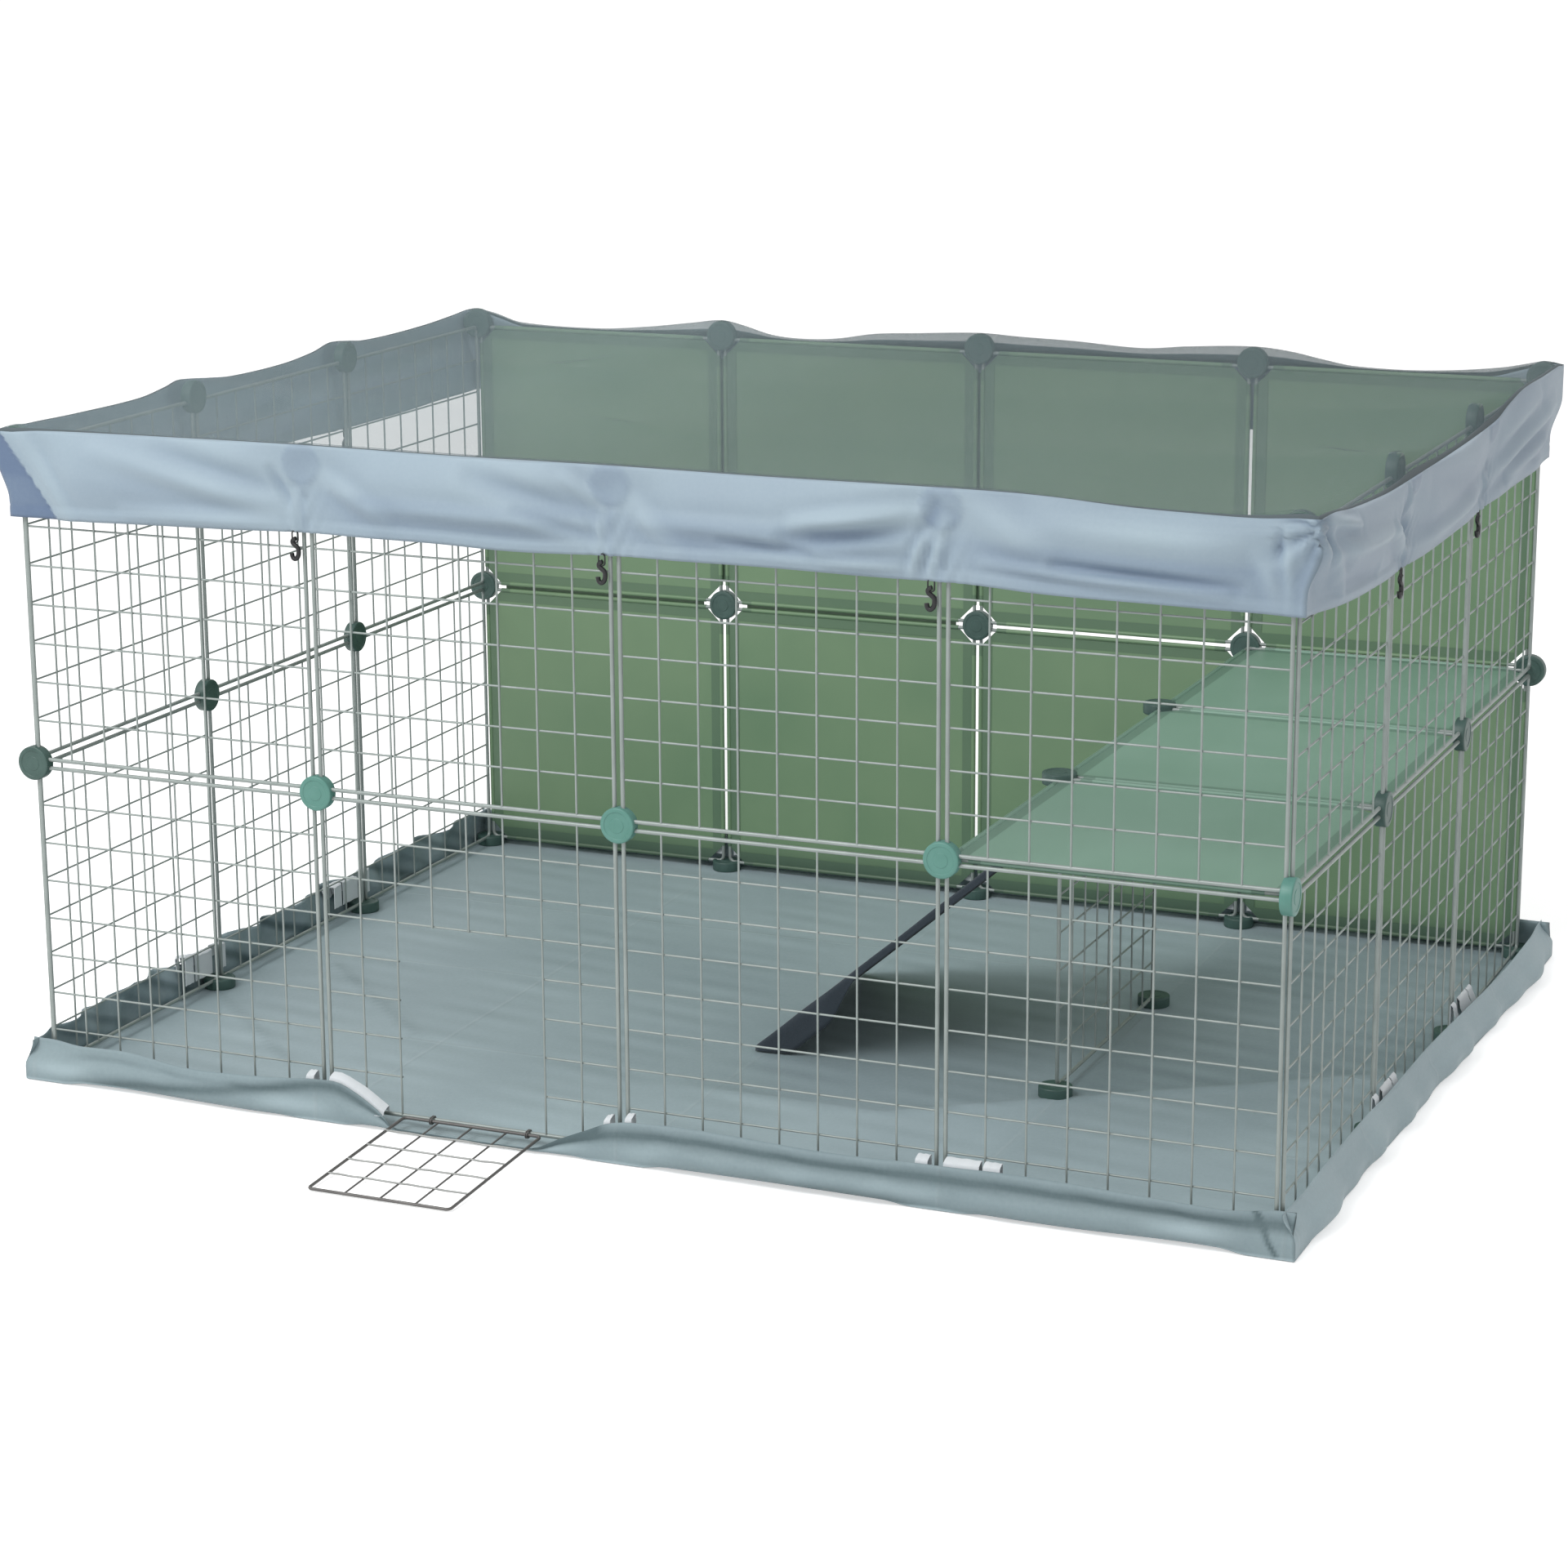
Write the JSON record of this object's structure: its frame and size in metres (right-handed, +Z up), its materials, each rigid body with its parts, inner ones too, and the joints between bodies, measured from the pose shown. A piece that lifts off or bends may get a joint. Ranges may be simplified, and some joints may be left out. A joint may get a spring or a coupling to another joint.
{
  "type": "rabbit playpen",
  "caption": "Low pen of square wire panels with a hinged wire door, a raised shelf with a ramp, a cloth floor mat and a net roof cover with a skirt.",
  "frame": {"origin": "centre of the panels' footprint on the ground, at the underside of the floor mat", "axes": "+X along the pen's length to the right, +Y from the door side to the sheeted back wall, +Z up"},
  "size_m": [1.479, 1.3079, 0.7379],
  "materials": {
    "wire": "satin",
    "door_wire": "satin",
    "ramp_wire": "satin",
    "connector": "satin",
    "back_sheet": "satin",
    "shelf_sheet": "satin",
    "mat_cloth": "matte",
    "tab_cloth": "matte",
    "ramp_felt": "matte",
    "net_cloth": "matte",
    "skirt_cloth": "satin",
    "tie_elastic": "matte",
    "hook_plastic": "satin"
  },
  "bodies": {
    "pen": {"front_grid_low_1": "wire", "front_door_panel": "wire", "front_grid_low_3": "wire", "front_grid_low_4": "wire", "front_grid_high_1": "wire", "front_grid_high_2": "wire", "front_grid_high_3": "wire", "front_grid_high_4": "wire", "left_grid_low_1": "wire", "left_grid_low_2": "wire", "left_grid_low_3": "wire", "left_grid_high_1": "wire", "left_grid_high_2": "wire", "left_grid_high_3": "wire", "right_grid_low_1": "wire", "right_grid_low_2": "wire", "right_grid_low_3": "wire", "right_grid_high_1": "wire", "right_grid_high_2": "wire", "right_grid_high_3": "wire", "back_frames_low": "wire", "back_frames_high": "wire", "back_sheet_low_1": "back_sheet", "back_sheet_low_2": "back_sheet", "back_sheet_low_3": "back_sheet", "back_sheet_low_4": "back_sheet", "back_sheet_high_1": "back_sheet", "back_sheet_high_2": "back_sheet", "back_sheet_high_3": "back_sheet", "back_sheet_high_4": "back_sheet", "shelf_frames": "wire", "shelf_sheet_1": "shelf_sheet", "shelf_sheet_2": "shelf_sheet", "shelf_sheet_3": "shelf_sheet", "shelf_support_grid": "wire", "connectors_low": "connector", "connectors_mid": "connector", "connectors_top": "connector", "floor_mat": "mat_cloth", "mat_rim_front": "mat_cloth", "mat_rim_back": "mat_cloth", "mat_rim_left": "mat_cloth", "mat_rim_right": "mat_cloth", "mat_tabs": "tab_cloth"},
    "door": {"door_grid": "door_wire", "door_hinge_rings": "door_wire"},
    "ramp": {"ramp_frame": "ramp_wire", "ramp_mat": "ramp_felt", "ramp_hooks": "ramp_wire"},
    "cover": {"roof_net": "net_cloth", "skirt_front": "skirt_cloth", "skirt_back": "skirt_cloth", "skirt_left": "skirt_cloth", "skirt_right": "skirt_cloth", "tie_loops": "tie_elastic", "tie_hooks": "hook_plastic"}
  },
  "joints": [
    {"name": "door_hinge", "type": "hinge", "parent": "pen", "child": "door", "pos_m": [-0.1775, -0.5325, 0.01225], "axis": [-1, 0, 0], "range_deg": [0, 92.6]},
    {"name": "ramp_hinge", "type": "hinge", "parent": "pen", "child": "ramp", "pos_m": [0.3541, 0, 0.31456], "axis": [0, 1, 0], "range_deg": [0, 70]},
    {"name": "cover_lift", "type": "slide", "parent": "pen", "child": "cover", "axis": [0, 0, 1], "range_m": [0, 0.25]}
  ]
}
